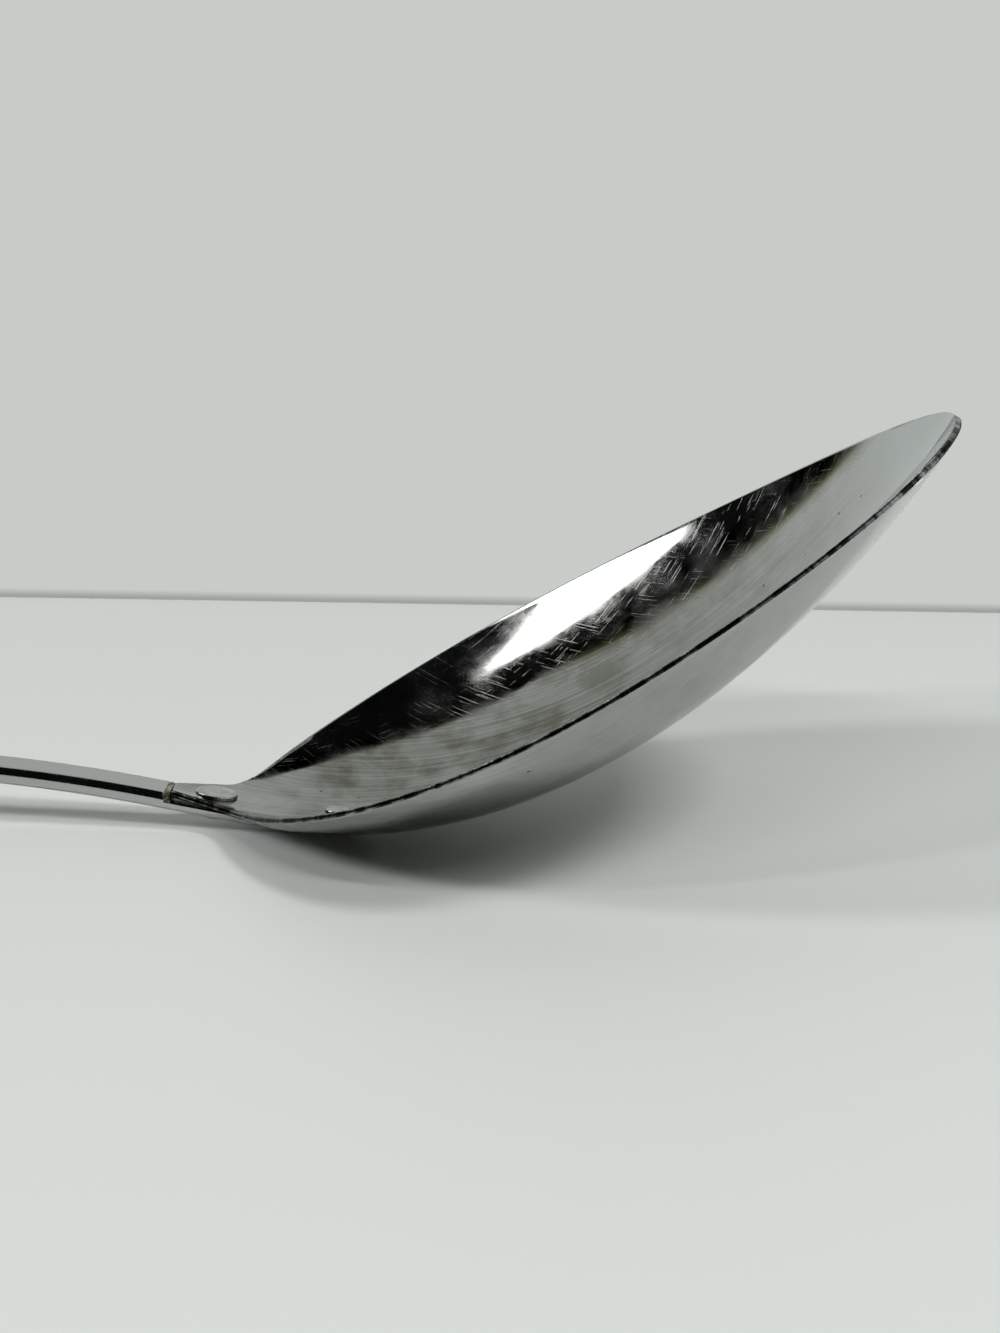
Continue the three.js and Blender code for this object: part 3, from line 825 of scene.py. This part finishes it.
def far_wall():
    """Shows in reflections only: a pale wall whose soft edges fade into the dark room."""
    material, tree = bare_material("far_wall")
    place = add(tree, "ShaderNodeTexCoord").outputs["Object"]
    shown = 1
    for across, dark, pale in WALL_EDGES:
        reach = add(tree, "ShaderNodeVectorMath", {"operation": "DOT_PRODUCT"}, i0=place, i1=across)
        edge = add(tree, "ShaderNodeMapRange", {"interpolation_type": "SMOOTHSTEP"},
                   Value=reach.outputs["Value"], From_Min=dark * MM, From_Max=pale * MM).outputs[0]
        shown = add(tree, "ShaderNodeMath", {"operation": "MULTIPLY"}, i0=edge, i1=shown).outputs[0]
    tone = fill_ramp(add(tree, "ShaderNodeValToRGB", Fac=shown), WALL_TONES)
    height = add(tree, "ShaderNodeSeparateXYZ", Vector=place).outputs["Z"]
    glow = add(tree, "ShaderNodeMapRange", Value=height, From_Min=WALL_SHADED * MM, From_Max=WALL_LIT * MM,
               To_Min=WALL_GLOW * WALL_FOOT, To_Max=WALL_GLOW)
    shader = add(tree, "ShaderNodeEmission", Color=tone, Strength=glow.outputs[0])
    add(tree, "ShaderNodeOutputMaterial", Surface=shader.outputs[0])
    return material


def softbox_cloth(name, glow):
    """Shows white in reflections only. The lamps light the table."""
    material, tree = bare_material(name + "_cloth")
    shader = add(tree, "ShaderNodeEmission", Strength=glow)
    add(tree, "ShaderNodeOutputMaterial", Surface=shader.outputs[0])
    return material


def photograph_camera():
    """A camera at the photograph's place, with its long lens."""
    heading = Vector((math.sin(CAMERA_YAW) * math.cos(CAMERA_PITCH),
                      math.cos(CAMERA_YAW) * math.cos(CAMERA_PITCH), -math.sin(CAMERA_PITCH)))
    level = Vector((math.cos(CAMERA_YAW), -math.sin(CAMERA_YAW), 0))
    upright = level.cross(heading)
    right = level * math.cos(CAMERA_ROLL) + upright * math.sin(CAMERA_ROLL)
    up = upright * math.cos(CAMERA_ROLL) - level * math.sin(CAMERA_ROLL)
    lens = bpy.data.cameras.new("camera")
    lens.sensor_width = SENSOR
    lens.lens = SENSOR * FOCAL_PIXELS / PICTURE_HEIGHT
    lens.clip_start, lens.clip_end = NEAREST * MM, FARTHEST * MM
    camera = bpy.data.objects.new("camera", lens)
    bpy.context.scene.collection.objects.link(camera)
    place = (CAMERA_FROM_HEEL + Vector((HEEL_X, 0, 0))) * MM
    camera.matrix_world = Matrix.Translation(place) @ Matrix((right, up, -heading)).transposed().to_4x4()
    bpy.context.scene.camera = camera


def stage_sheet(name, corners, material):
    """A flat sheet of the stage, given by its corners in millimetres."""
    mesh = bmesh.new()
    mesh.faces.new([mesh.verts.new(Vector(corner) * MM) for corner in corners])
    data = bpy.data.meshes.new(name)
    mesh.to_mesh(data)
    mesh.free()
    sheet = bpy.data.objects.new(name, data)
    bpy.context.scene.collection.objects.link(sheet)
    data.materials.append(material)
    return sheet


def panel_lamp(name, centre, size, radiance):
    """A soft panel turned to the bowl, which lights the table but shows in no reflection."""
    light = bpy.data.lights.new(name, "AREA")
    light.shape = "RECTANGLE"
    light.size, light.size_y = size[0] * MM, size[1] * MM
    light.energy = radiance * math.pi * light.size * light.size_y
    lamp = bpy.data.objects.new(name, light)
    bpy.context.scene.collection.objects.link(lamp)
    away = (Vector(centre) - Vector((BOWL_LENGTH / 2, 0, 0))).normalized()
    across = away.cross(Vector((0, 1, 0))).normalized()
    turn = Matrix((across.cross(away), across, away)).transposed().to_4x4()
    lamp.matrix_world = Matrix.Translation((Vector(centre) + Vector((HEEL_X, 0, 0))) * MM) @ turn
    lamp.visible_camera = False
    lamp.visible_glossy = False


def standing_corners(left, right, height):
    """Corners of an upright sheet that stands on the table between two places, each an X and a Y."""
    return [(*left, 0), (*right, 0), (*right, height), (*left, height)]


def stage():
    """Table, board, wall, softboxes and lamps."""
    span, wide, slant = TABLE_HALF_WIDTH, BOARD_HALF_WIDTH, BOARD_SLANT * BOARD_HALF_WIDTH
    corners = [(-span, -span, 0), (span, -span, 0), (span, span, 0), (-span, span, 0)]
    stage_sheet("table", corners, table_laminate())
    corners = standing_corners((-wide, BOARD_Y - slant), (wide, BOARD_Y + slant), BOARD_HEIGHT)
    board = stage_sheet("board", corners, pale_board())
    board.visible_shadow = board.visible_glossy = False
    corners = standing_corners((WALL_LEFT, WALL_Y), (WALL_RIGHT, WALL_Y), WALL_TOP)
    wall = stage_sheet("wall", corners, far_wall())
    wall.visible_camera = wall.visible_diffuse = wall.visible_shadow = False
    for name, (glow, corners) in SOFTBOXES.items():
        places = [(HEEL_X + x, y, z) for x, y, z in corners]
        softbox = stage_sheet(name, places, softbox_cloth(name, glow))
        softbox.visible_camera = softbox.visible_diffuse = softbox.visible_shadow = False
    for name, (centre, size, radiance) in LAMPS.items():
        panel_lamp(name, centre, size, radiance)


def dark_room():
    """Pale where the camera looks past the stage, and nearly black in reflections."""
    world = bpy.data.worlds.new("dark_room")
    bpy.context.scene.world = world
    world.use_nodes = True
    tree = world.node_tree
    seen = add(tree, "ShaderNodeLightPath").outputs["Is Camera Ray"]
    sky = add(tree, "ShaderNodeMix", {"data_type": "RGBA"}, i0=seen,
              i6=linear("#0F1010"), i7=linear("#CBCFCB"))
    tree.links.new(sky.outputs[2], tree.nodes["Background"].inputs["Color"])


bpy.context.scene.view_settings.view_transform = "Standard"
photograph_camera()
stage()
dark_room()

bowl_plate = plated_steel("bright_plate_on_sheet", "sheet_place", "#CBCDCC", "#6B6A60", BOWL_WEAR)
handle_plate = plated_steel("bright_plate_on_bar", None, "#BCBEBD", "#AEAFAA", HANDLE_WEAR)
rivets_steel = filed_steel()
pressed_bowl(bowl_plate)
forged_handle(handle_plate)
rivet("rivet_front_turned", "rivet_front", FRONT_RIVET_X, FRONT_HEAD, FRONT_HEAD_HEIGHT, FRONT_SHANK,
      FRONT_HEAD_LEAN, rivets_steel, FRONT_HEAD_OVAL, FRONT_HEAD_SHIFT)
rivet("rivet_rear_turned", "rivet_rear", REAR_RIVET_X, REAR_HEAD, REAR_HEAD_HEIGHT, REAR_SHANK,
      REAR_HEAD_LEAN, rivets_steel)
filler_bead(tarnished_filler())
